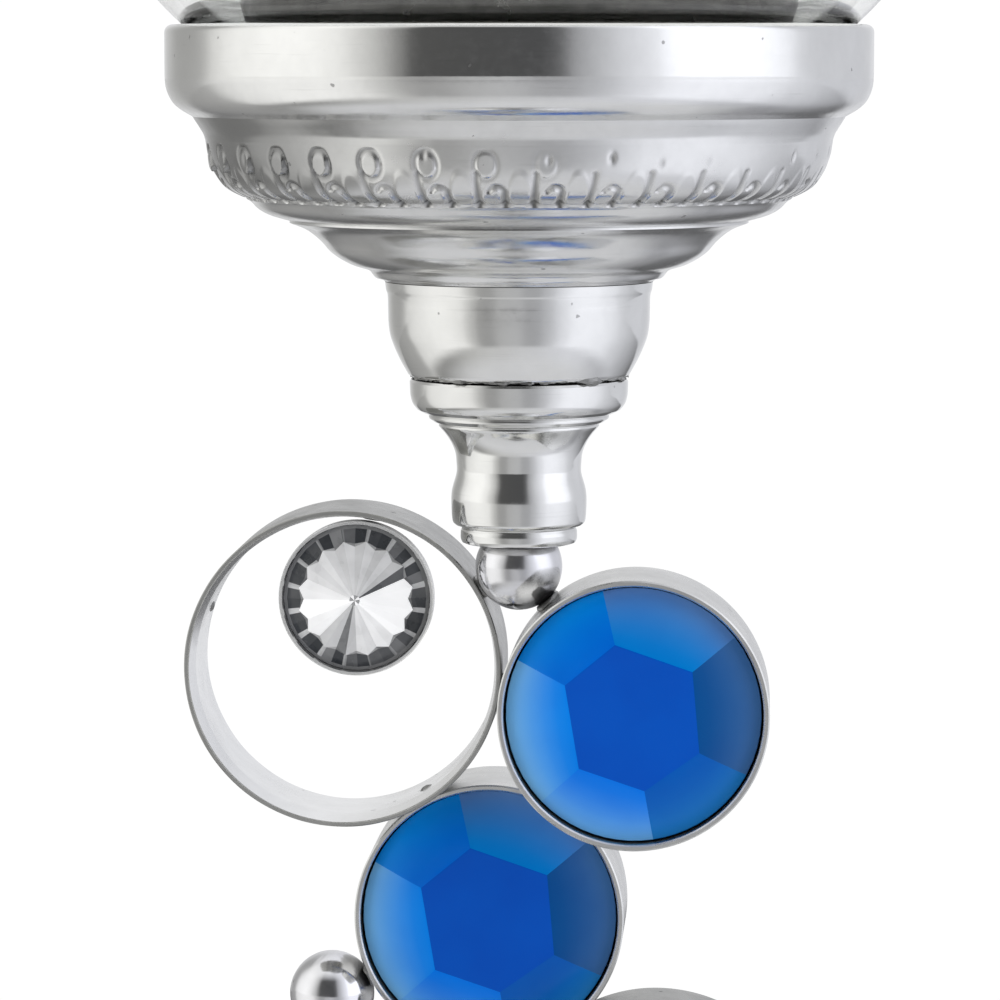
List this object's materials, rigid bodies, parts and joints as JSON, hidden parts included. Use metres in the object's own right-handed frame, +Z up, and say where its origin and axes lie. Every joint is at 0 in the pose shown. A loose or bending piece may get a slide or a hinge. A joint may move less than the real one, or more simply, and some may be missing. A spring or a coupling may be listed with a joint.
{
  "type": "votive candle holder",
  "caption": "Votive candle holder: glass globe with candle on a turned dish, over a stem of soldered open rings, small balls and round blue stones in deep bezels, on a domed foot.",
  "frame": {"origin": "centre of the underside of the felt pad, on the axis of the turned pieces", "axes": "+Z up along the stem, -Y towards the front of the stones, +X to the right of someone facing them"},
  "size_m": [0.098, 0.098, 0.2793],
  "materials": {
    "nickel": "polished, with fine scratches and a light haze",
    "steel": "bright polished",
    "iron": "plain",
    "blue_stone": "faceted, foiled behind",
    "crystal": "faceted, foiled behind",
    "clear_glass": "clear blown glass",
    "tin": "satin",
    "wax": "smooth paraffin wax",
    "wick": "braided cotton",
    "felt": "pressed felt"
  },
  "bodies": {
    "stand": {"rim_band": "nickel", "dish_pan": "nickel", "embossed_cup": "nickel", "ogee_collar": "nickel", "bulb_knop": "nickel", "upper_neck": "nickel", "upper_bolt": "steel", "upper_washer": "steel", "ball_1": "steel", "ball_2": "steel", "ball_3": "steel", "ball_4": "steel", "ring_1": "nickel", "crystal_cup_1": "nickel", "crystal_1": "crystal", "ring_2": "nickel", "crystal_cup_2": "nickel", "crystal_2": "crystal", "bezel_1": "nickel", "stone_1": "blue_stone", "rear_stone_1": "blue_stone", "bezel_2": "nickel", "stone_2": "blue_stone", "rear_stone_2": "blue_stone", "bezel_3": "nickel", "stone_3": "blue_stone", "rear_stone_3": "blue_stone", "bezel_4": "nickel", "stone_4": "blue_stone", "rear_stone_4": "blue_stone", "lower_neck": "nickel", "base_shell": "nickel", "base_weight": "iron", "base_plate": "iron", "base_bolt": "steel", "base_nut": "steel", "base_washer": "steel", "felt_pad": "felt"},
    "glass": {"glass_globe": "clear_glass"},
    "candle": {"candle_tin": "tin", "wax": "wax", "wick_sustainer": "tin", "wick": "wick"}
  },
  "joints": [
    {"name": "glass_lift", "type": "slide", "parent": "stand", "child": "glass", "axis": [0, 0, 1], "range_m": [0, 0.1]},
    {"name": "candle_lift", "type": "slide", "parent": "glass", "child": "candle", "axis": [0, 0, 1], "range_m": [0, 0.1]}
  ]
}
